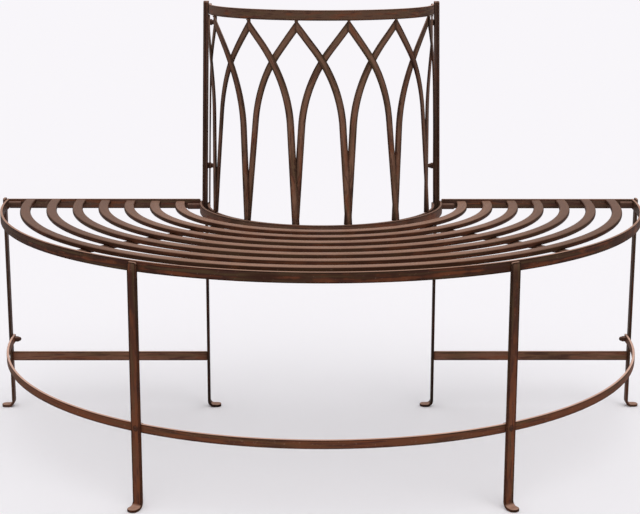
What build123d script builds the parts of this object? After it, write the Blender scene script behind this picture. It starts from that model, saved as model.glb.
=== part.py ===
from build123d import *
import os
from math import atan, cos, degrees, radians, sin, tan

os.makedirs("parts", exist_ok=True)

# Half-round garden seat that stands against a tree. The sitter faces -Y, the trunk stands behind
# the back, and every half ring is centred on the upright axis of the trunk.

# Flat bar of the frame
bar_width = 19
bar_thickness = 5
corner_cut = 3

# Seat
rim_radius = 632
rim_top = 435
ring_top = 431
ring_gap = 0.2
slat_count = 7
slat_radius = 583
slat_pitch = 50.1
slat_shift = 7.1
slat_shift_step = 0.78
slat_width = 20
slat_thickness = 9
slat_rise = 0.5
seat_fall = 4.6
support_angle = 44

# Legs
front_leg_angle = 30
front_leg_top = 433
side_leg_top = 438
toe_length = 22
toe_bend = 8
lower_ring_top = 152
lower_ring_height = 16
stretcher_top = 117.5

# Back, a little narrower at the top than at the seat
wall_bottom = 428
wall_bottom_radius = 228
wall_top = 824
wall_top_radius = 220
post_top = 829

# Pointed arches of the back: strips in two layers that cross near the middle of each bay
bay_count = 7
foot_angles = (-90, -66, -38.6, -12.6, 12.6, 38.6, 66, 90)
peak_angles = (-90, -69, -38.6, -12.6, 12.6, 38.6, 69, 90)
strip_width = 13.5
strip_thickness = 3
strip_bend = 260
peak_height = 796
peak_overrun = 2.5

# Where a strip bends: distance from the middle of its bay, and height, from the middle bay outward.
# A strip that rises towards the side of the back bends higher up than one that rises towards its middle.
inward_knees = ((33, 690), (26, 690), (26, 690), (20, 690))
outward_knees = ((33, 690), (35, 702), (32, 720), (30, 720))

# Fasteners, with flats in place of their smallest curves
shank_sides = 6
head_sides = 8
barrel_sides = 10
shank_radius = 3
hole_radius = 3.2
thread_reach = 8
head_radius = 4.2
head_height = 1
head_taper = 40
nut_flats = 10.5
nut_hex_length = 7
nut_length = 13
nut_taper = 12
barrel_radius = 6
barrel_length = 25
back_bolt_heights = (504, 788)
back_bolt_setback = 3
nut_clearance = 0.4
coating = 0.1

# Places that follow from these sizes
seat_depth = rim_radius + bar_width / 2
rear_y = seat_depth / 2
trunk_y = rear_y - bar_width / 2
rim_inner_radius = rim_radius - bar_thickness
ring_radius = wall_bottom_radius + 3 * bar_thickness + ring_gap
leg_radius = rim_radius + bar_thickness
seat_slope = seat_fall / ((slat_count - 1) * slat_pitch)
seat_edge = slat_radius + slat_shift * cos(radians(support_angle))
wall_slope = (wall_bottom_radius - wall_top_radius) / (wall_top - wall_bottom)
wall_lean = atan(wall_slope)
bay_angle = 180 / bay_count
strip_cut_y = trunk_y + back_bolt_setback - nut_flats / 2 - nut_clearance
up = Vector(0, 0, 1)
trunk_axis = Axis((0, trunk_y, 0), (0, 0, 1))


def outward(angle):
    """Level direction away from the trunk; the angle runs from straight ahead to the right."""
    return Vector(sin(radians(angle)), -cos(radians(angle)), 0)


def radial_plane(angle):
    """Upright plane through the trunk's axis, its x outward and its y up."""
    side = outward(angle)
    return Plane(origin=(0, trunk_y, 0), x_dir=side, z_dir=side.cross(up))


def seat_plane(angle, radius, height, setback=0, lean=0):
    """Face of a bar that looks outward, where the head of a bolt or a nut sits."""
    side = outward(angle)
    origin = Vector(0, trunk_y + setback, height) + side * radius
    normal = side * cos(lean) + up * sin(lean)
    return Plane(origin=origin, x_dir=side.cross(up), z_dir=normal)


def facing_trunk(seat, depth):
    """The seat turned to the trunk, behind bars of this depth and their coating."""
    origin = seat.origin - seat.z_dir * (depth + coating)
    return Plane(origin=origin, x_dir=seat.x_dir, z_dir=-seat.z_dir)


def wall_radius(height):
    """Outer radius of the back at this height."""
    return wall_bottom_radius - (height - wall_bottom) * wall_slope


def wall_bar(offset):
    """Bend and top end of an upright bar whose middle is this far outside the back."""
    bend = (wall_bottom_radius + offset, wall_bottom + offset * tan(wall_lean / 2))
    top = (wall_radius(post_top) + offset / cos(wall_lean), post_top)
    return [bend, top]


def slat_height(distance):
    """Height of a slat's middle where it crosses a support: the seat falls towards the trunk."""
    return rim_top + slat_rise - slat_thickness / 2 - (seat_edge - distance) * seat_slope


# Bolt seats on the outer faces of the bars
barrel_setback = bar_width / 2 - bar_thickness - barrel_radius
rim_bolts = [
    seat_plane(angle, leg_radius, rim_top - bar_width / 2, barrel_setback)
    for angle in (-90, 90)
]
ring_bolts = [
    seat_plane(angle, ring_radius, ring_top - bar_width / 2, barrel_setback)
    for angle in (-90, 90)
]
lower_bolts = [
    seat_plane(angle, leg_radius, lower_ring_top - lower_ring_height / 2)
    for angle in (-90, -front_leg_angle, front_leg_angle, 90)
]
back_bolts = [
    seat_plane(
        angle,
        wall_radius(height) + 2 * bar_thickness / cos(wall_lean),
        height,
        back_bolt_setback,
        wall_lean,
    )
    for height in back_bolt_heights
    for angle in (-90, 90)
]


def save(piece, name):
    """Label a finished piece and write its file."""
    piece.part.label = name
    export_step(piece.part, f"parts/{name}.step")


def drill(seats):
    """Bolt holes through the bars at these seats."""
    for seat in seats:
        with BuildSketch(seat) as hole:
            RegularPolygon(hole_radius, shank_sides)
        extrude(hole.sketch, amount=5 * bar_thickness, both=True, mode=Mode.SUBTRACT)


def half_ring(outer_radius, top, height, bolts):
    """Flat bar on edge, bent to half a circle, its ends straight over half a leg's width."""
    end_plane = Plane(origin=(0, trunk_y, 0), x_dir=(1, 0, 0), z_dir=(0, -1, 0))
    with BuildPart() as ring:
        with BuildSketch(end_plane) as section:
            with Locations((-outer_radius + bar_thickness / 2, top - height / 2)):
                Rectangle(bar_thickness, height)
        revolve(axis=trunk_axis, revolution_arc=90)
        extrude(section.sketch, amount=-bar_width / 2)
        mirror(about=Plane.YZ)
        drill(bolts)
    return ring


def seat_slat(number):
    """Slat bent about a centre just in front of the trunk; its straight ends butt on the rear rails."""
    radius = slat_radius - number * slat_pitch
    shift = slat_shift - number * slat_shift_step
    height = slat_height(radius + shift * cos(radians(support_angle)))
    end_plane = Plane(origin=(0, trunk_y - shift, 0), x_dir=(1, 0, 0), z_dir=(0, -1, 0))
    with BuildPart() as slat:
        with BuildSketch(end_plane) as section:
            with Locations((-radius, height)):
                Rectangle(slat_width, slat_thickness, rotation=-degrees(atan(seat_slope)))
        revolve(axis=Axis(end_plane.origin, up), revolution_arc=90)
        extrude(section.sketch, amount=bar_thickness - bar_width / 2 - shift)
        mirror(about=Plane.YZ)
    return slat


def seat_support(angle):
    """Flat bar that carries the slats, its ends cut to fit the ring and the rim."""
    half_slat = slat_thickness / 2 / cos(atan(seat_slope))
    inner_top = slat_height(0) - half_slat
    outer_top = slat_height(rim_radius) - half_slat
    with BuildPart() as support:
        with BuildSketch(radial_plane(angle)):
            with BuildLine():
                Polyline(
                    (0, inner_top),
                    (rim_radius, outer_top),
                    (rim_radius, outer_top - bar_thickness),
                    (0, inner_top - bar_thickness),
                    close=True,
                )
            make_face()
        extrude(amount=slat_width / 2, both=True)
        with Locations((0, trunk_y, 0)):
            Cylinder(rim_inner_radius, 2 * rim_top, mode=Mode.INTERSECT)
            Cylinder(ring_radius, 2 * rim_top, mode=Mode.SUBTRACT)
    return support


def rear_rail(side):
    """Flat bar on edge along the rear, from the inner ring to the rim."""
    with BuildPart(Plane((0, rear_y, rim_top))) as rail:
        with Locations((side * (ring_radius + rim_inner_radius) / 2, 0)):
            Box(
                rim_inner_radius - ring_radius,
                bar_thickness,
                bar_width,
                align=(Align.CENTER, Align.MAX, Align.MAX),
            )
    return rail


def side_stretcher(side):
    """Flat bar on edge, low down between a side leg and a back leg."""
    inner_end = wall_bottom_radius + bar_thickness
    with BuildPart(Plane((0, trunk_y, stretcher_top))) as stretcher:
        with Locations((side * (inner_end + rim_radius) / 2, 0)):
            Box(
                rim_radius - inner_end,
                bar_thickness,
                bar_width,
                align=(Align.CENTER, Align.CENTER, Align.MAX),
            )
    return stretcher


def leg(angle, toe_tip, route, bolts):
    """Flat bar that stands upright, bent out flat into a toe with a round end."""
    bends = [toe_bend + bar_thickness / 2] + [0] * (len(route) - 2)
    toe_side = outward(angle) * (toe_tip - route[0][0])
    with BuildPart() as bar:
        with BuildSketch(radial_plane(angle)):
            with BuildLine():
                FilletPolyline((toe_tip, bar_thickness / 2), *route, radius=bends)
            trace(line_width=bar_thickness)
        extrude(amount=bar_width / 2, both=True)
        toe_corners = bar.edges().filter_by(Axis.Z).sort_by(Axis((0, 0, 0), toe_side))[-2:]
        fillet(toe_corners, radius=bar_width / 2 - 0.5)
        chamfer(bar.faces().sort_by(Axis.Z)[-1].edges().sort_by(SortBy.LENGTH)[:2], corner_cut)
        drill(bolts)
    return bar


def outer_leg(angle, top, bolts):
    """Leg on the outside of the rim, its toe pointing outward."""
    middle = rim_radius + bar_thickness / 2
    route = [(middle, bar_thickness / 2), (middle, top)]
    return leg(angle, leg_radius + toe_length, route, bolts)


def back_leg(angle):
    """Leg that runs on upward as the side of the back, its toe pointing at the trunk."""
    middle = bar_thickness / 2
    route = [(wall_bottom_radius + middle, middle), *wall_bar(middle)]
    return leg(angle, wall_bottom_radius - toe_length, route, ring_bolts + back_bolts)


def back_post(angle):
    """Second bar, flat against the back leg from the inner ring to the top."""
    middle = 1.5 * bar_thickness
    with BuildPart() as post:
        with BuildSketch(radial_plane(angle)):
            with BuildLine():
                Polyline((wall_bottom_radius + middle, ring_top - bar_width), *wall_bar(middle))
            trace(line_width=bar_thickness)
        extrude(amount=bar_width / 2, both=True)
        chamfer(post.faces().sort_by(Axis.Z)[-1].edges().sort_by(SortBy.LENGTH)[:2], corner_cut)
        drill(ring_bolts + back_bolts)
    return post


def lattice_strip(bay, layer, lean):
    """One strip of the pointed arches: straight foot, long bend, and a mitred head under the rail.

    Layer 0 is the outer one and leans to the left going up; layer 1 behind it leans to the right.
    The strip is cut from the leaning half-round wall of its layer.
    """
    mid_angle = (bay + 0.5) * bay_angle - 90
    foot_angle = foot_angles[bay + (1 + lean) // 2] - mid_angle
    peak_angle = peak_angles[bay + (1 - lean) // 2]
    bays_out = bay - bay_count // 2
    knees = outward_knees if bays_out * lean < 0 else inward_knees
    knee_offset, knee_height = knees[abs(bays_out)]
    foot = (wall_radius(wall_bottom) * sin(radians(foot_angle)), wall_bottom)
    knee = (lean * knee_offset, knee_height)
    head = (wall_radius(peak_height) * sin(radians(peak_angle - mid_angle)), peak_height)
    side = outward(mid_angle)
    front = Plane(origin=(0, trunk_y, 0), x_dir=up.cross(side), z_dir=side)
    rail_bottom = wall_top - bar_width
    outer_step = layer * strip_thickness
    inner_step = outer_step + strip_thickness
    foot_run = (knee[0] - foot[0]) / (knee[1] - foot[1])
    head_run = (head[0] - knee[0]) / (head[1] - knee[1])
    low_end = (foot[0] - foot_run * strip_width, foot[1] - strip_width)
    high_end = (head[0] + head_run * 2 * strip_width, head[1] + 2 * strip_width)
    with BuildPart() as strip:
        with BuildSketch(front):
            with BuildLine():
                FilletPolyline(low_end, knee, high_end, radius=strip_bend)
            trace(line_width=strip_width)
        extrude(amount=wall_bottom_radius + bar_thickness)
        with BuildSketch(radial_plane(mid_angle)) as wall:
            with BuildLine():
                Polyline(
                    (wall_radius(wall_bottom) - inner_step, wall_bottom),
                    (wall_radius(wall_bottom) - outer_step, wall_bottom),
                    (wall_radius(rail_bottom) - outer_step, rail_bottom),
                    (wall_radius(rail_bottom) - inner_step, rail_bottom),
                    close=True,
                )
            make_face()
        revolve(wall.sketch, axis=trunk_axis, mode=Mode.INTERSECT)
        split(bisect_by=mitre_plane(peak_angle, lean), keep=Keep.TOP)
        split(bisect_by=Plane((0, strip_cut_y, 0), z_dir=(0, -1, 0)), keep=Keep.TOP)
    return strip


def mitre_plane(peak_angle, lean):
    """Upright plane just past the peak, where the heads of two neighbouring bays lap."""
    way_back = up.cross(outward(peak_angle)) * lean
    return Plane(origin=Vector(0, trunk_y, 0) - way_back * peak_overrun, z_dir=way_back)


def bolt(grip):
    """Bolt with a low round head; its seat is at the origin and its shank runs down -Z."""
    with BuildPart() as piece:
        with BuildSketch():
            RegularPolygon(head_radius, head_sides)
        extrude(amount=head_height, taper=head_taper)
        with BuildSketch():
            RegularPolygon(shank_radius, shank_sides)
        extrude(amount=-grip - thread_reach)
    return piece.part


def cap_nut():
    """Hexagon nut with a closed round end; its seat is at the origin and its bore is blind."""
    with BuildPart() as nut:
        with BuildSketch():
            RegularPolygon(nut_flats / 2, 6, major_radius=False, rotation=30)
        extrude(amount=nut_hex_length)
        with BuildSketch(Plane.XY.offset(nut_hex_length)):
            RegularPolygon(nut_flats / 2, head_sides)
        extrude(amount=nut_length - nut_hex_length, taper=nut_taper)
        with BuildSketch():
            RegularPolygon(hole_radius, shank_sides)
        extrude(amount=thread_reach + 1, mode=Mode.SUBTRACT)
    return nut.part


def barrel_nut():
    """Long round nut with a blind bore; its seat is at the origin."""
    with BuildPart() as nut:
        with BuildSketch():
            RegularPolygon(barrel_radius, barrel_sides)
        extrude(amount=barrel_length)
        with BuildSketch():
            RegularPolygon(hole_radius, shank_sides)
        extrude(amount=thread_reach + 1, mode=Mode.SUBTRACT)
    return nut.part


def fasteners(shape, seats):
    """The same fastener on each of these seats."""
    with BuildPart() as group:
        with Locations(*seats):
            add(shape)
    return group


# Seat
save(half_ring(rim_radius, rim_top, bar_width, rim_bolts), "seat_rim")
save(half_ring(ring_radius, ring_top, bar_width, ring_bolts), "seat_inner_ring")
for number in range(slat_count):
    save(seat_slat(number), f"seat_slat_{number + 1}")
for side, word in ((-1, "left"), (1, "right")):
    save(seat_support(side * support_angle), f"seat_support_{word}")
    save(rear_rail(side), f"rear_rail_{word}")

# Legs
save(half_ring(rim_radius, lower_ring_top, lower_ring_height, lower_bolts), "lower_ring")
for side, word in ((-1, "left"), (1, "right")):
    save(outer_leg(side * front_leg_angle, front_leg_top, lower_bolts), f"front_leg_{word}")
    save(outer_leg(side * 90, side_leg_top, rim_bolts + lower_bolts), f"side_leg_{word}")
    save(back_leg(side * 90), f"back_leg_{word}")
    save(side_stretcher(side), f"side_stretcher_{word}")

# Back
save(half_ring(wall_top_radius, wall_top, bar_width, []), "back_top_rail")
save(half_ring(wall_bottom_radius, wall_bottom, bar_width, ring_bolts), "back_bottom_rail")
for side, word in ((-1, "left"), (1, "right")):
    save(back_post(side * 90), f"back_post_{word}")
for bay in range(bay_count):
    save(lattice_strip(bay, 0, 1), f"lattice_outer_strip_{bay + 1}")
    save(lattice_strip(bay, 1, -1), f"lattice_inner_strip_{bay + 1}")

# Fasteners
save(fasteners(bolt(2 * bar_thickness), rim_bolts + lower_bolts + back_bolts), "frame_bolts")
ring_grip = 4 * bar_thickness + ring_gap
ring_bolt_heads = [facing_trunk(seat, ring_grip) for seat in ring_bolts]
save(fasteners(bolt(ring_grip), ring_bolt_heads), "inner_ring_bolts")
rim_nuts = [facing_trunk(seat, 2 * bar_thickness) for seat in rim_bolts]
save(fasteners(barrel_nut(), rim_nuts + ring_bolts), "seat_barrel_nuts")
lower_nuts = [facing_trunk(seat, 2 * bar_thickness) for seat in lower_bolts]
save(fasteners(cap_nut(), lower_nuts), "lower_cap_nuts")
back_nuts = [facing_trunk(seat, 2 * bar_thickness) for seat in back_bolts]
save(fasteners(cap_nut(), back_nuts), "back_cap_nuts")
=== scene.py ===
# %% [markdown]
# # Half-round tree seat
# The object is half of a ring bench that stands against a tree. It is made of flat steel bar, bent and
# joined, with a brushed bronze-brown coating. The CAD model gives every bar its place. This lesson gives the
# bars their rounded edges, turned fasteners, welds and coating, and lights them for a picture.

# %% Load the frame
from math import atan, atan2, cos, pi, radians, sin, tau

import bmesh
import bpy
from mathutils import Euler, Matrix, Vector


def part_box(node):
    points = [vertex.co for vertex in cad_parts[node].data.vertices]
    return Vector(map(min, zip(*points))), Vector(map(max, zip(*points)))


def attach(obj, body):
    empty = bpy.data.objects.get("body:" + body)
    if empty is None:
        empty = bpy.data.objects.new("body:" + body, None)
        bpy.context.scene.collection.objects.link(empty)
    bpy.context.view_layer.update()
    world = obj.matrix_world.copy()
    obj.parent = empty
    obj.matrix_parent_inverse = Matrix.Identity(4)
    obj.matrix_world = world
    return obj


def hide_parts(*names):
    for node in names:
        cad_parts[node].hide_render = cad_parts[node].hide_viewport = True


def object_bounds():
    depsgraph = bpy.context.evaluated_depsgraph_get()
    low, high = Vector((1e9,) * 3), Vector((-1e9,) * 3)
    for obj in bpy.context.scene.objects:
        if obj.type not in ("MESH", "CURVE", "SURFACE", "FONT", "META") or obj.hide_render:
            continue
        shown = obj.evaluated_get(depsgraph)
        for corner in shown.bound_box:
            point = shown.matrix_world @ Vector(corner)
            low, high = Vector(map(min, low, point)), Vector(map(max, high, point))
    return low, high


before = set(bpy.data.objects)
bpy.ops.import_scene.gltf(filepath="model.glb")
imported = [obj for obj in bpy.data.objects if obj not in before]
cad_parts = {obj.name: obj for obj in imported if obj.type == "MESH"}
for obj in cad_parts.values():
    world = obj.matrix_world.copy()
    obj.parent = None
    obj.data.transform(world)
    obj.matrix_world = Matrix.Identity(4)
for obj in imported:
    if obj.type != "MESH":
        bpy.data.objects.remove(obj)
cad_low, cad_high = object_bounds()
bar = 0.005
bar_width = 0.019
rear_y = cad_high.y
trunk_y = rear_y - bar_width / 2
print("nodes:", len(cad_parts), "size:", [round(b - a, 4) for a, b in zip(cad_low, cad_high)])
print("trunk axis at y =", round(trunk_y, 5))

# %% [markdown]
# ## Camera
# The picture was taken from about a metre high and three metres in front of the trunk, slightly to the left
# of the middle. A camera can be aimed with a Track To constraint or with three angles. The angles are plain
# numbers and need no target, so they are used here. The focal length sets how strongly the curve closes up.

# %% Camera
camera_data = bpy.data.cameras.new("camera")
camera_data.sensor_width = 36
camera_data.lens = 83.516
camera = bpy.data.objects.new("camera", camera_data)
camera.location = (-0.027619, -2.626400, 0.983637)
camera.rotation_euler = Euler((radians(77.203), radians(-0.120), radians(-0.476)))
bpy.context.collection.objects.link(camera)
bpy.context.scene.camera = camera
bpy.context.scene.view_settings.view_transform = "Standard"
print("camera at", [round(v, 3) for v in camera.location])

# %% [markdown]
# ## Shader arithmetic
# A material is a small program of nodes. Written node by node it is long and hard to read. The first class
# below wraps the output of a node, so that sums and products of masks are written as plain arithmetic. Every
# other node comes from one method, which sets the node's options first and then its sockets.

# %% Values that can be added and multiplied
class Value:
    def __init__(self, finish, socket):
        self.finish = finish
        self.socket = socket

    def maths(self, operation, first, second=0.0):
        return self.finish.node("ShaderNodeMath", {"operation": operation}, {0: first, 1: second})

    def __add__(self, other):
        return self.maths("ADD", self, other)

    def __sub__(self, other):
        return self.maths("SUBTRACT", self, other)

    def __rsub__(self, other):
        return self.maths("SUBTRACT", other, self)

    def __mul__(self, other):
        return self.maths("MULTIPLY", self, other)

    def __abs__(self):
        return self.maths("ABSOLUTE", self)

    __radd__ = __add__
    __rmul__ = __mul__


# %% [markdown]
# ## Nodes of a finish
# The second class holds the nodes of one material, or of the sky. Its short methods are the steps that every
# finish is made of: take a vector apart, mix two colours, read a noise, or turn a value into a soft mask.

# %% The nodes of a finish
class Finish:
    def __init__(self, owner):
        self.owner = owner
        owner.use_nodes = True
        self.tree = owner.node_tree
        self.tree.nodes.clear()

    def node(self, kind, options, sockets, output=0):
        made = self.tree.nodes.new(kind)
        for option, setting in options.items():
            if option == "stops":
                self.set_stops(made.color_ramp, setting)
            else:
                setattr(made, option, setting)
        for name, value in sockets.items():
            if isinstance(value, Value):
                self.tree.links.new(value.socket, made.inputs[name])
            else:
                made.inputs[name].default_value = value
        return Value(self, made.outputs[output]) if len(made.outputs) else made

    def set_stops(self, ramp, stops):
        while len(ramp.elements) < len(stops):
            ramp.elements.new(1.0)
        for element, (place, colour) in zip(ramp.elements, stops):
            element.position = place
            element.color = (*colour, 1)

    def split(self, vector):
        """The three parts of a vector."""
        first = self.node("ShaderNodeSeparateXYZ", {}, {"Vector": vector})
        return [Value(self, socket) for socket in first.socket.node.outputs]

    def join(self, x, y, z):
        return self.node("ShaderNodeCombineXYZ", {}, {"X": x, "Y": y, "Z": z})

    def mix(self, mask, first, second):
        """Two colours mixed; they are inputs 6 and 7 of the Mix node, and the result is its output 2."""
        first, second = [c if isinstance(c, Value) else (*c, 1) for c in (first, second)]
        return self.node("ShaderNodeMix", {"data_type": "RGBA"}, {0: mask, 6: first, 7: second}, 2)

    def noise(self, place, scale, detail=3.0, roughness=0.55):
        return self.node("ShaderNodeTexNoise", {}, {
            "Vector": place, "Scale": scale, "Detail": detail, "Roughness": roughness})

    def band(self, value, low, high):
        """0 below low, 1 above high, and smooth between them."""
        return self.node("ShaderNodeMapRange", {"interpolation_type": "SMOOTHSTEP"}, {
            "Value": value, "From Min": low, "From Max": high})


# %% [markdown]
# ## Brush marks
# The real coat is brushed on along each bar. It could be painted as an image, but a noise needs no image and
# runs on from bar to bar without seams. The noise is read in coordinates that run round the trunk, outward
# and upward, and it is stretched along the way the bar runs, which turns it into marks.

# %% Brush marks
mean_radius = 0.4
marks_across, marks_along = 150.0, 9.0
grain = {
    "around": (marks_along, marks_across, marks_across),
    "out": (marks_across, marks_along, marks_across),
    "up": (marks_across, marks_across, marks_along),
}


def brushed(coat, place, runs):
    """Stretched coordinates. runs is the way the bar runs: around, out or up; across, which is straight
    from side to side; or strip, for a curved strip that has the attribute "across"."""
    if runs == "across":
        return coat.node("ShaderNodeMapping", {}, {"Vector": place, "Scale": grain["around"]})
    x, y, height = coat.split(place)
    from_trunk = coat.join(x, y - trunk_y, 0.0)
    distance = coat.node("ShaderNodeVectorMath", {"operation": "LENGTH"}, {0: from_trunk}, 1)
    if runs == "strip":
        sideways = coat.node("ShaderNodeAttribute", {"attribute_name": "across"}, {}, 2)
    else:
        sideways = x.maths("ARCTAN2", x, trunk_y - y) * mean_radius
    wrapped = coat.join(sideways, distance, height)
    scale = grain["up"] if runs == "strip" else grain[runs]
    return coat.node("ShaderNodeMapping", {}, {"Vector": wrapped, "Scale": scale})


# %% [markdown]
# ## Dark edges
# The colour of each bar is made darker near its edges. The edges could be picked from the mesh, but that
# gives a hard line. The Bevel node turns the normal only near an edge, and the angle between that normal and
# the true one is a soft mask. It is read as the product of the two normals, which is 1 on a flat.

# %% Dark edges
edge_product, flat_product = 0.95, 0.9998


def edge_mask(coat, facing, width):
    """1 on the edges and 0 on the flats; facing is the true normal."""
    turned_normal = coat.node("ShaderNodeBevel", {"samples": 6}, {"Radius": width})
    agree = coat.node("ShaderNodeVectorMath", {"operation": "DOT_PRODUCT"}, {0: facing, 1: turned_normal}, 1)
    return 1 - coat.band(agree, edge_product, flat_product)


# %% [markdown]
# ## Coating
# The brown coat holds streaks of bronze, olive, rust and plum, and small specks of wear. Its base tone
# changes with the height, and faces that look up are painted paler as a painted highlight of the light from
# above.
# Each layer could be a shader of its own, but only the colour differs, so the layers are mixed as colours and
# feed one satin surface.

# %% Coating
def srgb(*levels):
    """The linear light that a shader wants, from a colour as it is read from a screen, 0 to 255."""
    shares = [level / 255 for level in levels]
    return tuple(share / 12.92 if share < 0.04045 else ((share + 0.055) / 1.055) ** 2.4 for share in shares)


olive, rust, plum = srgb(80, 64, 44), srgb(108, 62, 40), srgb(58, 35, 33)
# Dark colour for the edges of the bars and for the painted shade at the sides of the back.
edge_and_shade_dark = srgb(20, 11, 8)
# These colours paint the specks of wear and also the painted highlight on faces that look up; the brightest
# is for the low ring.
frame_wear_and_highlight, low_ring_wear_and_highlight = srgb(186, 146, 126), srgb(226, 184, 164)
slat_wear_and_highlight, nut_wear_and_highlight = srgb(162, 125, 106), srgb(140, 108, 94)
full_height = 0.83


def coating(name, tones, runs, mottle=0.30, wear_and_highlight=frame_wear_and_highlight, highlight_share=0.70, edge_share=0.80,
            edge_width=0.0030, roughness=0.46, highlight_fade=0.0, painted_side_shade=0.0, gloss=0.015):
    """Brushed coat. tones are pairs of a share of the full height and a colour. The colour of wear is used
    for specks of wear and also as a painted highlight on faces that look up. mottle is how strong the streaks
    are;
    one share makes that painted highlight weaker at the far left and right, and another is how much painted
    shade darkens the coat at the sides of the back."""
    coat = Finish(bpy.data.materials.new(name))
    place = coat.node("ShaderNodeTexCoord", {}, {}, "Object")
    facing = coat.node("ShaderNodeNewGeometry", {}, {}, "Normal")
    x, _, height = coat.split(place)
    off_middle = abs(x)

    stretched = brushed(coat, place, runs)
    marks = coat.noise(stretched, 1.0)
    fine_marks = coat.noise(stretched, 2.9, 2.0)
    slow = coat.noise(place, 8.0, 2.0) - 0.5
    patch = coat.noise(place, 30.0) - 0.5
    speck = coat.noise(place, 240.0, 3.0, 0.7)

    olive_streaks = coat.band(marks + slow * 0.5, 0.46, 0.68)
    rust_streaks = 1 - coat.band(marks + patch * 0.6, 0.32, 0.50)
    plum_streaks = coat.band(fine_marks + slow * 0.4, 0.50, 0.66)
    worn_specks = coat.band(speck, 0.60, 0.74) * 0.15
    edges = edge_mask(coat, facing, edge_width) * (0.7 + fine_marks * 0.6)
    upward = coat.band(coat.split(facing)[2], 0.45, 0.97)
    # Painted highlight: faces that look up are painted paler, as the light from above would make them, and
    # less so at the far left and right.
    painted_highlight = upward * (1 - coat.band(off_middle, 0.18, 0.46) * highlight_fade) * (0.55 + marks * 0.9)

    level = height * (1 / full_height) + slow * 0.02
    tone = coat.node("ShaderNodeValToRGB", {"stops": tones}, {"Fac": level})
    tone = coat.mix(olive_streaks * mottle, tone, olive)
    tone = coat.mix(rust_streaks * mottle, tone, rust)
    tone = coat.mix(plum_streaks * mottle, tone, plum)
    tone = coat.mix(worn_specks, tone, wear_and_highlight)
    # Painted shade: the coat is darkened towards the far left and right of the back.
    if painted_side_shade:
        tone = coat.mix(coat.band(off_middle, 0.10, 0.20) * painted_side_shade, tone, edge_and_shade_dark)
    tone = coat.mix(edges * edge_share, tone, edge_and_shade_dark)
    tone = coat.mix(painted_highlight * highlight_share, tone, wear_and_highlight)

    shine = coat.node("ShaderNodeMapRange", {}, {
        "Value": marks * 0.6 + speck * 0.4, "From Min": 0.3, "From Max": 0.7,
        "To Min": roughness - 0.06, "To Max": roughness + 0.08})
    relief = fine_marks * 0.45 + speck * 0.55
    bump = coat.node("ShaderNodeBump", {}, {"Strength": 0.22, "Distance": 0.0005, "Height": relief})
    surface = coat.node("ShaderNodeBsdfPrincipled", {}, {
        "Base Color": tone, "Roughness": shine, "Normal": bump, "Metallic": 0.03,
        "Specular IOR Level": gloss})
    coat.node("ShaderNodeOutputMaterial", {}, {"Surface": surface})
    return coat.owner


# %% [markdown]
# ## Tones of the bars
# The base tones change with the height: lighter low down and on the back, and darker just under the seat.
# Each kind of bar has its own list of tones, and the back legs are painted dark below the seat as painted
# shade. One material for all bars would be quicker, but it would lose those differences, so each kind of bar
# has its own list of tones and its own share of painted highlight.

# %% Tones
ring_tones = [
    (0.16, srgb(98, 60, 42)),
    (0.19, srgb(96, 59, 42)),
    (0.47, srgb(54, 33, 25)),
    (0.55, srgb(56, 35, 27)),
    (0.95, srgb(88, 65, 52)),
]
upright_tones = [
    (0.00, srgb(98, 60, 43)),
    (0.20, srgb(98, 60, 43)),
    (0.42, srgb(66, 42, 33)),
    (0.50, srgb(60, 39, 30)),
    (0.53, srgb(106, 79, 63)),
    (1.00, srgb(90, 67, 54)),
]
# Painted shade: the back legs are painted dark below the seat.
shade_tones = [
    (0.00, srgb(40, 25, 21)),
    (0.48, srgb(36, 24, 21)),
    (0.55, srgb(80, 58, 48)),
    (1.00, srgb(88, 67, 58)),
]
strip_tones = [(0.50, srgb(92, 64, 51)), (0.56, srgb(126, 92, 74)), (1.00, srgb(104, 78, 63))]
side_tones = [(0.00, srgb(78, 52, 41)), (0.20, srgb(56, 38, 32)), (0.52, srgb(65, 47, 40))]
inner_tones = [(0.46, srgb(92, 66, 54)), (0.56, srgb(78, 56, 46))]
rail_tones = [(0.14, srgb(116, 80, 64)), (0.48, srgb(82, 60, 50))]
post_tones = [(0.50, srgb(64, 44, 36)), (1.00, srgb(76, 57, 49))]
slat_tones = [(0.50, srgb(54, 31, 21)), (0.53, srgb(56, 33, 22))]
nut_tones = [(0.00, srgb(60, 40, 32)), (1.00, srgb(84, 62, 54))]

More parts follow.
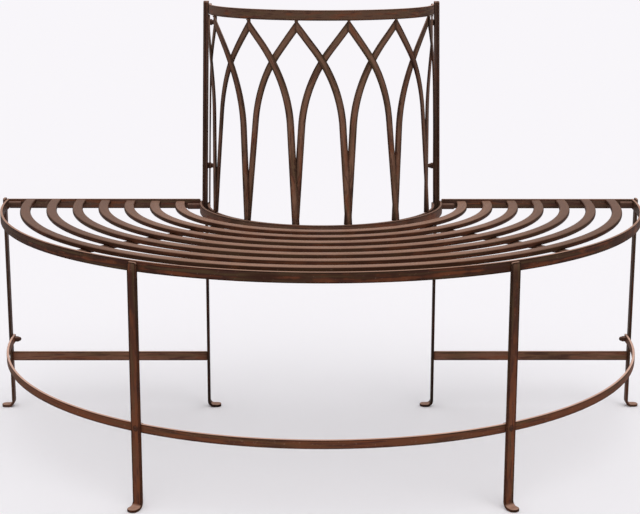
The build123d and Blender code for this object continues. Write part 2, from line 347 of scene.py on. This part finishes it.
# %% Finishes
finishes = {
    "ring": coating("ring_coating", ring_tones, "around", mottle=0.65, highlight_share=0.85, edge_share=0.90,
                    edge_width=0.0045, roughness=0.50),
    "low": coating("low_ring_coating", ring_tones, "around", mottle=0.65, wear_and_highlight=low_ring_wear_and_highlight, highlight_share=0.95,
                   edge_share=0.90, edge_width=0.0045, roughness=0.50),
    "inner": coating("inner_ring_coating", inner_tones, "around", mottle=0.55, highlight_share=0.40,
                     edge_share=0.90, edge_width=0.0045, roughness=0.50),
    "upright": coating("upright_coating", upright_tones, "up", mottle=0.65, highlight_share=0.75,
                       edge_share=0.95, edge_width=0.0065, roughness=0.50),
    "strip": coating("strip_coating", strip_tones, "strip", mottle=0.66, highlight_share=0.60, edge_share=0.85,
                     edge_width=0.0065, roughness=0.50, painted_side_shade=0.30),
    "weld": coating("weld_coating", upright_tones, "around", highlight_share=0.30, edge_share=0.40,
                    edge_width=0.0010, roughness=0.50),
    "shade": coating("shade_coating", shade_tones, "up"),
    "side": coating("side_leg_coating", side_tones, "up", mottle=0.45),
    "post": coating("post_coating", post_tones, "up", highlight_share=0.40),
    "rail": coating("rail_coating", rail_tones, "across", mottle=0.65, highlight_share=0.85, edge_share=0.90,
                    edge_width=0.0045, roughness=0.50),
    "support": coating("support_coating", slat_tones, "out", mottle=0.20, wear_and_highlight=slat_wear_and_highlight, highlight_share=0.20),
    "slat": coating("slat_coating", slat_tones, "around", mottle=0.32, wear_and_highlight=slat_wear_and_highlight, highlight_share=0.85,
                    edge_share=0.75, edge_width=0.0040, roughness=0.42, highlight_fade=0.52, gloss=0.01),
    "nut": coating("nut_coating", nut_tones, "around", mottle=0.20, wear_and_highlight=nut_wear_and_highlight, edge_share=0.50,
                   edge_width=0.0010, roughness=0.36),
}
slots = {name: "frame_coating" for name in finishes}
slots.update(slat="slat_coating", nut="fastener_coating")
print("finishes:", sorted(finishes))

# %% [markdown]
# ## Pieces
# Every new piece ends the same way: doubled points are merged, the faces are turned outwards, and the mesh
# becomes an object that rides on the frame and stands for its CAD nodes. Weighted normals let the light run
# round the small edges and leave the flats flat. Smooth shading alone would make the flats look bent.

# %% Finish a piece
merge_distance = 1e-6
smooth_below = radians(50)


def finish_piece(bm, name, finish, *nodes):
    bmesh.ops.remove_doubles(bm, verts=bm.verts, dist=merge_distance)
    bmesh.ops.recalc_face_normals(bm, faces=bm.faces)
    mesh = bpy.data.meshes.new(name)
    bm.to_mesh(mesh)
    bm.free()
    mesh.polygons.foreach_set("use_smooth", [True] * len(mesh.polygons))
    mesh.set_sharp_from_angle(angle=smooth_below)
    mesh.materials.append(finishes[finish])
    piece = bpy.data.objects.new(name, mesh)
    bpy.context.collection.objects.link(piece)
    normals = piece.modifiers.new("even_light", "WEIGHTED_NORMAL")
    normals.keep_sharp = True
    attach(piece, "root")
    if nodes:
        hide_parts(*nodes)
    return piece


# %% [markdown]
# ## Bars rolled to half a circle
# A rolled bar could be a bevelled curve, but a section that is spun about an upright axis follows the roll
# exactly. The section is a grid face whose corners are bevelled. Its outline is drawn out straight at both
# ends, where the bar meets the rear of the seat, and the ends are closed.

# %% Half rings
ring_steps = 96
corner_steps = 4


def section(bm, place, width, height, rounding):
    """Edges of a rectangle with round corners; place sets its middle and its plane."""
    bmesh.ops.create_grid(bm, x_segments=1, y_segments=1, size=0.5,
                          matrix=place @ Matrix.Diagonal((width, height, 1, 1)))
    bmesh.ops.bevel(bm, geom=bm.verts[:], offset=rounding, segments=corner_steps, profile=0.5,
                    affect="VERTICES", material=-1)
    bmesh.ops.delete(bm, geom=bm.faces[:], context="FACES_ONLY")
    return bm.edges[:]


def draw_out(bm, edges, way):
    """Extrude edges and move them; returns the new edges."""
    made = bmesh.ops.extrude_edge_only(bm, edges=edges)["geom"]
    bmesh.ops.translate(bm, verts=[g for g in made if isinstance(g, bmesh.types.BMVert)], vec=way)
    return [g for g in made if isinstance(g, bmesh.types.BMEdge) and g.is_boundary]


def half_ring(radius, height, width, depth, rounding, tilt=0.0, end_y=rear_y, centre_y=trunk_y):
    """Bar spun half way round an upright axis, with a straight run at both ends."""
    bm = bmesh.new()
    place = (Matrix.Translation((-radius, end_y, height)) @ Matrix.Rotation(pi / 2, 4, "X")
             @ Matrix.Rotation(tilt, 4, "Z"))
    straight = end_y - centre_y
    edges = section(bm, place, width, depth, rounding)
    edges = draw_out(bm, edges, (0, -straight, 0))
    spun = bmesh.ops.spin(bm, geom=edges, cent=(0, centre_y, 0), axis=(0, 0, 1), angle=pi, steps=ring_steps,
                          dvec=(0, 0, 0), use_merge=False, use_duplicate=False)["geom_last"]
    draw_out(bm, [g for g in spun if isinstance(g, bmesh.types.BMEdge)], (0, straight, 0))
    bmesh.ops.holes_fill(bm, edges=[e for e in bm.edges if e.is_boundary], sides=0)
    return bm


# %% [markdown]
# ## Slats
# A slat is a bar about 20 by 9 mm, well rounded on its edges. The seven slats fall a little towards the
# trunk, so each is tilted with the seat. Each could be copied from the CAD mesh, but its round edges are so
# large that a new section is cleaner. Its radius and its own centre are read from the box of its CAD node.

# %% Slats
slat_count = 7
slat_width = 0.020
slat_thickness = 0.009
slat_rounding = 0.0034
slat_pitch = 0.0501
seat_fall = 0.0046
slat_tilt = atan(seat_fall / ((slat_count - 1) * slat_pitch))
half_section = slat_width / 2 * cos(slat_tilt) + slat_thickness / 2 * sin(slat_tilt)

for number in range(1, slat_count + 1):
    low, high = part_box(f"seat_slat_{number}")
    radius = high.x - half_section
    centre_y = low.y + high.x
    slat = half_ring(radius, (low.z + high.z) / 2, slat_width, slat_thickness, slat_rounding, -slat_tilt,
                     high.y, centre_y)
    finish_piece(slat, f"slat_{number}", "slat", f"seat_slat_{number}")
    print("slat", number, "radius", round(radius, 4), "centre y", round(centre_y, 4))

# %% [markdown]
# ## Rings and rails
# The rim, the inner ring, the low ring and the two rails of the back are flat bar on edge, rolled as the
# slats are. Their long edges are rounded, as rolled steel bar comes, and a hair of room is left round each
# so that a flat of the spun circle never stands outside the CAD ring.

# %% Rings
bar_rounding = 0.0015
hair = 0.00012
rings = {"seat_rim": "ring", "lower_ring": "low", "back_top_rail": "ring", "seat_inner_ring": "inner",
         "back_bottom_rail": "inner"}
for node, finish in rings.items():
    low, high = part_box(node)
    ring = half_ring(high.x - bar / 2 - hair, (low.z + high.z) / 2, bar, high.z - low.z, bar_rounding)
    piece = finish_piece(ring, node + "_bar", finish, node)
    print(node, "outer radius", round(high.x, 4), "faces", len(piece.data.polygons))

# %% [markdown]
# ## Straight and bent bars
# Legs, posts, rails and supports keep the exact outline of the CAD model. A copy of each mesh is merged, its
# flat triangles are dissolved into whole faces, and its corners are bevelled. Drawing each bar again would
# give the same shape with more room for mistakes.

# %% Bars with eased edges
bar_easing = 0.0012
easing_steps = 3
loose_distance = 2e-5
flat_angle, corner_angle = radians(0.6), radians(32)
sides = ("left", "right")


def eased_copy(node, easing):
    """Copy of a CAD mesh whose sharp corners are rounded."""
    bm = bmesh.new()
    bm.from_mesh(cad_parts[node].data)
    bmesh.ops.remove_doubles(bm, verts=bm.verts, dist=loose_distance)
    bmesh.ops.dissolve_limit(bm, angle_limit=flat_angle, verts=bm.verts[:], edges=bm.edges[:])
    corners = [e for e in bm.edges if e.is_manifold and e.calc_face_angle() > corner_angle]
    bmesh.ops.bevel(bm, geom=corners, offset=easing, segments=easing_steps, profile=0.5, affect="EDGES",
                    material=-1, clamp_overlap=True)
    return bm


bars = {"front_leg": "upright", "side_leg": "side", "back_leg": "shade", "back_post": "post",
        "side_stretcher": "rail", "rear_rail": "rail", "seat_support": "support"}
for kind, finish in bars.items():
    for side in sides:
        node = f"{kind}_{side}"
        piece = finish_piece(eased_copy(node, bar_easing), node + "_bar", finish, node)
        print(node, "faces", len(piece.data.polygons))

# %% [markdown]
# ## Arch strips
# The strips of the arches are copied in the same way. They curve, so brush marks that run straight up would
# cut across them. Each point of a strip therefore carries a number, an attribute, that says on which edge of
# the strip it lies. Between the edges the number runs evenly from one to the other, which gives the marks a
# way along the strip. A UV map would do the same with more work.

# %% Arch strips
strip_count = 7
strip_width = 0.0135
strip_easing = 0.0011
strip_shift = 0.07
look_around = 0.010


def mark_across(bm, shift):
    """Gives every point its side of the strip's middle line; shift keeps two strips from looking alike."""
    across = bm.verts.layers.float.new("across")
    turned_points = [(v.co.z, atan2(v.co.x, trunk_y - v.co.y), v) for v in bm.verts]
    for height, angle, point in turned_points:
        near = [a for h, a, _ in turned_points if abs(h - height) < look_around]
        side = 1 if angle > (min(near) + max(near)) / 2 else -1
        point[across] = side * strip_width / 2 + shift


strip_nodes = []
for layer in ("outer", "inner"):
    for number in range(1, strip_count + 1):
        node = f"lattice_{layer}_strip_{number}"
        strip = eased_copy(node, strip_easing)
        mark_across(strip, number * strip_shift)
        piece = finish_piece(strip, node + "_bar", "strip", node)
        strip_nodes.append(node)
        print(node, "faces", len(piece.data.polygons))

# %% [markdown]
# ## Turned and six-sided parts
# The cap nuts, long round nuts and bolts are turned or six-sided. A turned shape is a short line of points
# that is spun full circle, and a hexagon is a cone with six sides and equal radii. They could be cut from
# cylinders, but a line of points gives domes and recesses with few faces.

# %% Turned and six-sided parts
turned_steps = 24


def as_mesh(bm, name):
    mesh = bpy.data.meshes.new(name)
    bm.to_mesh(mesh)
    bm.free()
    return mesh


def turned(points):
    """Mesh turned about Z from points of (radius, height)."""
    bm = bmesh.new()
    line = [bm.verts.new((radius, 0, height)) for radius, height in points]
    edges = [bm.edges.new(pair) for pair in zip(line, line[1:])]
    bmesh.ops.spin(bm, geom=line + edges, cent=(0, 0, 0), axis=(0, 0, 1), angle=tau, steps=turned_steps,
                   dvec=(0, 0, 0), use_merge=True, use_duplicate=False)
    bmesh.ops.remove_doubles(bm, verts=bm.verts, dist=merge_distance)
    bmesh.ops.recalc_face_normals(bm, faces=bm.faces)
    return as_mesh(bm, "turned")


def hexagon(flats, height, easing):
    """Six-sided block that stands on its seat."""
    corner_radius = flats / 2 / cos(pi / 6)
    bm = bmesh.new()
    bmesh.ops.create_cone(bm, cap_ends=True, segments=6, radius1=corner_radius, radius2=corner_radius,
                          depth=height, matrix=Matrix.Translation((0, 0, height / 2)))
    bmesh.ops.bevel(bm, geom=bm.edges[:], offset=easing, segments=2, profile=0.5, affect="EDGES",
                    material=-1)
    return as_mesh(bm, "hexagon")


def dome(radius, base, top, count=6):
    """Points of a round cap from its rim to its top."""
    angles = [step * pi / 2 / count for step in range(count + 1)]
    return [(radius * cos(angle), base + (top - base) * sin(angle)) for angle in angles]


# %% [markdown]
# ## Nuts and bolts
# Each fastener is made once at the origin, with its seat at zero, and copied to its seats later. A cap nut is
# a hexagon with a round cap, a long nut is a rod with a recess in its end, and a bolt has a low round head
# with a small recess. Threads are hidden in the nuts, so the shanks are plain.

# %% Nuts and bolts
nut_flats, nut_hex_length, nut_length, nut_easing = 0.0104, 0.007, 0.013, 0.0004
cap_radius, cap_foot, cap_base = 0.0046, 0.006, 0.0082
long_nut_line = [(0, 0), (0.0055, 0), (0.00595, 0.0006), (0.00595, 0.0236), (0.0050, 0.0249),
                 (0.0028, 0.0249), (0.0022, 0.0225), (0, 0.0225)]
shank_radius, thread_reach = 0.0025, 0.008
head_radius, head_edge, head_height = 0.0040, 0.0002, 0.0009
recess_line = [(0.0014, head_height), (0.0012, 0.0004), (0, 0.0003)]
round_points = 5

cap_nut = [hexagon(nut_flats, nut_hex_length, nut_easing),
           turned([(0, cap_foot), (cap_radius, cap_foot)] + dome(cap_radius, cap_base, nut_length))]
long_nut = [turned(long_nut_line)]


def bolt(grip):
    """Bolt whose head stands on the seat and whose shank runs down through the grip."""
    end = -grip - thread_reach
    head = dome(head_radius, head_edge, head_height)[:round_points]
    shank = [(0, end), (shank_radius, end), (shank_radius, 0), (head_radius, 0)]
    return [turned(shank + head + recess_line)]


print("cap nut faces", sum(len(m.polygons) for m in cap_nut))

# %% [markdown]
# ## Seats of the fasteners
# A bolt holds two bars at the ends of the rim, at the low ring and at the back, with its head outside and its
# nut on the trunk's side. At the ends of the inner ring it is the other way round, and four bars are held.
# The seats could be read from the CAD nodes, but each node holds a whole group, so they are worked out from
# the boxes of the bars.

# %% Seats
coat_gap = 0.0001
two_bars = 2 * bar
four_bars = 4 * bar + 0.0002
long_nut_setback, back_setback = -0.0015, 0.003
end_angles = (-90, 90)
low_angles = (-90, -30, 30, 90)
back_heights = (0.504, 0.788)
up, right = Vector((0, 0, 1)), Vector((1, 0, 0))


def seat_at(angle, radius, height, setback=0.0, lean=0.0, inward=0.0):
    """Matrix of a seat. angle runs from straight ahead to the right, and inward is the depth of the bars
    between the outer face and a seat that looks at the trunk."""
    side = Vector((sin(radians(angle)), -cos(radians(angle)), 0))
    out = (side * cos(lean) + up * sin(lean)).normalized()
    across = side.cross(up)
    origin = Vector((0, trunk_y + setback, height)) + side * radius
    if inward:
        origin -= out * (inward + coat_gap)
        out = -out
    return Matrix.Translation(origin) @ Matrix((across, out.cross(across), out)).transposed().to_4x4()


rim_high, ring_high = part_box("seat_rim")[1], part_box("seat_inner_ring")[1]
low_ring_low, low_ring_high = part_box("lower_ring")
wall_foot, wall_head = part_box("back_bottom_rail")[1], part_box("back_top_rail")[1]
wall_slope = (wall_foot.x - wall_head.x) / (wall_head.z - wall_foot.z)
wall_radii = {height: wall_foot.x - (height - wall_foot.z) * wall_slope for height in back_heights}

rim_seats = [(angle, rim_high.x + bar, rim_high.z - bar_width / 2, long_nut_setback) for angle in end_angles]
ring_seats = [(angle, ring_high.x, ring_high.z - bar_width / 2, long_nut_setback) for angle in end_angles]
low_seats = [(angle, low_ring_high.x + bar, (low_ring_low.z + low_ring_high.z) / 2) for angle in low_angles]
back_seats = [(angle, wall_radii[height] + two_bars, height, back_setback, atan(wall_slope))
              for height in back_heights for angle in end_angles]
print("seats:", len(rim_seats + ring_seats + low_seats + back_seats), "back leans by", round(wall_slope, 4))

# %% Set the fasteners on their seats
def set_out(name, shapes, seats, node):
    """Copies of these meshes on every seat, as one piece."""
    bm = bmesh.new()
    for seat in seats:
        for shape in shapes:
            first = len(bm.verts)
            bm.from_mesh(shape)
            bm.verts.ensure_lookup_table()
            bmesh.ops.transform(bm, matrix=seat, verts=bm.verts[first:])
    piece = finish_piece(bm, name, "nut", node)
    print(name, "on", len(seats), "seats, faces", len(piece.data.polygons))


def outer(seats):
    return [seat_at(*seat) for seat in seats]


def inner(seats, depth):
    return [seat_at(*seat, inward=depth) for seat in seats]


set_out("frame_bolt_heads", bolt(two_bars), outer(rim_seats + low_seats + back_seats), "frame_bolts")
set_out("inner_ring_bolt_heads", bolt(four_bars), inner(ring_seats, four_bars), "inner_ring_bolts")
set_out("long_nuts", long_nut, inner(rim_seats, two_bars) + outer(ring_seats), "seat_barrel_nuts")
set_out("lower_nuts", cap_nut, inner(low_seats, two_bars), "lower_cap_nuts")
set_out("back_nuts", cap_nut, inner(back_seats, two_bars), "back_cap_nuts")

# %% [markdown]
# ## Welds
# The arches are welded to the two rails of the back, and the slats, stretchers and rear rails are welded at
# their ends. A hand-made weld is a short row of drops that run into each other. It could be one swept tube,
# but small flattened balls give the rippled top of a real weld at no more cost.

# %% Weld
drop_radius = 0.0016
drop_pitch = 1.1 * drop_radius
drop_flatness = 0.8
drop_sides, drop_levels = 8, 6


def weld(bm, centre, along, length):
    """Row of flattened drops."""
    count = max(2, round(length / drop_pitch))
    for number in range(count):
        place = centre + along * length * ((number + 0.5) / count - 0.5)
        shape = Matrix.Translation(place) @ Matrix.Diagonal((1, 1, drop_flatness, 1))
        bmesh.ops.create_uvsphere(bm, u_segments=drop_sides, v_segments=drop_levels, radius=drop_radius,
                                  matrix=shape)


def finish_welds(bm, name):
    piece = finish_piece(bm, name, "weld")
    print(name, "drops", len(piece.data.polygons) // (drop_sides * drop_levels))


# %% [markdown]
# ## Welds of the arches
# Every strip has a weld on its outer face at its top and at its foot. The place could be typed in for each,
# but the ends of the strip's own CAD mesh give it: their middle, pushed out to the face.

# %% Welds of the arches
tip_depth = 0.003
arch_weld, arch_inset = 0.004, 0.001

arch_welds = bmesh.new()
for node in strip_nodes:
    points = [v.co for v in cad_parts[node].data.vertices]
    top, foot = max(p.z for p in points), min(p.z for p in points)
    for level, height in ((top, top - arch_inset), (foot, foot + arch_inset)):
        tip = [p for p in points if abs(p.z - level) < tip_depth]
        centre = sum(tip, Vector()) / len(tip)
        outward = Vector((centre.x, centre.y - trunk_y, 0)).normalized()
        face = centre + outward * max((p - centre).dot(outward) for p in tip)
        weld(arch_welds, Vector((face.x, face.y, height)), outward.cross(up), arch_weld)
finish_welds(arch_welds, "arch_welds")

# %% [markdown]
# ## Welds of the seat and the stretchers
# A slat is welded under both its ends, and a stretcher or rear rail has an upright weld in the corner at each
# end. The welds sit half sunk in the corners, so that only their rippled tops show.

# %% Welds of the seat and the stretchers
slat_weld, slat_inset, slat_rise = 0.015, 0.0008, 0.0012
corner_inset, corner_depth, corner_margin = 0.0006, 0.0004, 0.003

seat_welds = bmesh.new()
for number in range(1, slat_count + 1):
    low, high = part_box(f"seat_slat_{number}")
    for x in (low.x + half_section, high.x - half_section):
        weld(seat_welds, Vector((x, high.y - slat_inset, low.z + slat_rise)), right, slat_weld)
finish_welds(seat_welds, "seat_welds")

end_welds = bmesh.new()
for kind in ("side_stretcher", "rear_rail"):
    for side in sides:
        low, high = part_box(f"{kind}_{side}")
        middle = (low.z + high.z) / 2
        for x in (low.x + corner_inset, high.x - corner_inset):
            weld(end_welds, Vector((x, low.y + corner_depth, middle)), up, high.z - low.z - corner_margin)
finish_welds(end_welds, "end_welds")

# %% [markdown]
# ## Floor
# The seat stands on a plain pale floor, which keeps its soft shadow. It could be a curved backdrop, but the
# sky beyond has the same colour, so a flat floor shows no line.

# %% Floor
pale = (0.945, 0.918, 0.936, 1)
floor_size = 60
floor_drop = 0.0005

floor_mesh = bpy.data.meshes.new("floor")
bm = bmesh.new()
bmesh.ops.create_grid(bm, x_segments=1, y_segments=1, size=floor_size,
                      matrix=Matrix.Translation((0, 0, -floor_drop)))
bm.to_mesh(floor_mesh)
bm.free()
floor = bpy.data.objects.new("floor", floor_mesh)
bpy.context.collection.objects.link(floor)

ground = Finish(bpy.data.materials.new("floor"))
ground_surface = ground.node("ShaderNodeBsdfPrincipled", {}, {
    "Base Color": pale, "Roughness": 0.9, "Specular IOR Level": 0.0})
ground.node("ShaderNodeOutputMaterial", {}, {"Surface": ground_surface})
floor_mesh.materials.append(ground.owner)
print("floor", 2 * floor_size, "m wide")

# %% [markdown]
# ## Light
# One large soft sun from above and in front lights the tops of the bars, and the sky fills the rest. The sky
# is pale where the camera, the gloss and clear things see it, and dimmer as a lamp, so that the background
# stays pale and the brown stays brown. A brighter lamp would wash out both.

# %% Light
sky_strength = 0.78
sun_strength = 0.90

sky = Finish(bpy.data.worlds.new("sky"))
bpy.context.scene.world = sky.owner
seen = sky.node("ShaderNodeBackground", {}, {"Color": pale})
lamp = sky.node("ShaderNodeBackground", {}, {"Color": (0.97, 0.98, 1.0, 1), "Strength": sky_strength})
by_camera = sky.node("ShaderNodeLightPath", {}, {}, "Is Camera Ray")
by_gloss = sky.node("ShaderNodeLightPath", {}, {}, "Is Glossy Ray")
through_clear = sky.node("ShaderNodeLightPath", {}, {}, "Is Transmission Ray")
looking = by_camera.maths("MAXIMUM", by_camera, by_gloss)
looking = looking.maths("MAXIMUM", looking, through_clear)
air = sky.node("ShaderNodeMixShader", {}, {0: looking, 1: lamp, 2: seen})
sky.node("ShaderNodeOutputWorld", {}, {"Surface": air})

sun_data = bpy.data.lights.new("soft_sun", "SUN")
sun_data.energy = sun_strength
sun_data.angle = radians(50)
sun = bpy.data.objects.new("soft_sun", sun_data)
sun.rotation_euler = (radians(32), radians(10), 0)
bpy.context.collection.objects.link(sun)
print("lit by a sun of", sun_strength, "and a sky of", sky_strength)
